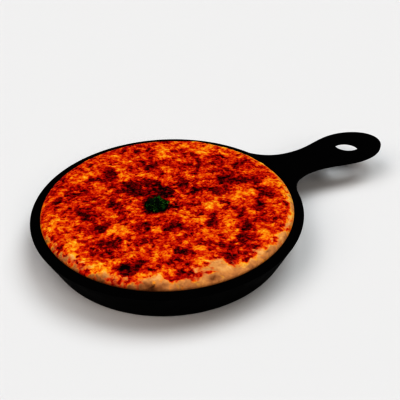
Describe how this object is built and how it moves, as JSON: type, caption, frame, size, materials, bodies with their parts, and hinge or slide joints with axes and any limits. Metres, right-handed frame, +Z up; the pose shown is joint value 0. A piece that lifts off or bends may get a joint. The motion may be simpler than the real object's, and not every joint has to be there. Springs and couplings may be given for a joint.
{
  "type": "deep dish pizza",
  "caption": "Deep dish pizza with browned cheese and sauce over a thick crust, topped with chopped herbs, in the flat-handled cast-iron skillet it was baked in.",
  "frame": {"origin": "centre of the skillet's flat underside, where it rests", "axes": "+X from the pan's centre along the handle, +Z up out of the pan"},
  "size_m": [0.32, 0.203, 0.0366],
  "materials": {
    "seasoned_iron": "satin, fine cast grain",
    "baked_dough": "matte, browned towards the edge",
    "browned_cheese": "glistening, mottled from yellow to dark red-brown",
    "chopped_herbs": "matte, dark green"
  },
  "bodies": {
    "root": {"skillet": "seasoned_iron", "crust": "baked_dough", "topping": "browned_cheese", "herbs": "chopped_herbs"}
  },
  "joints": []
}
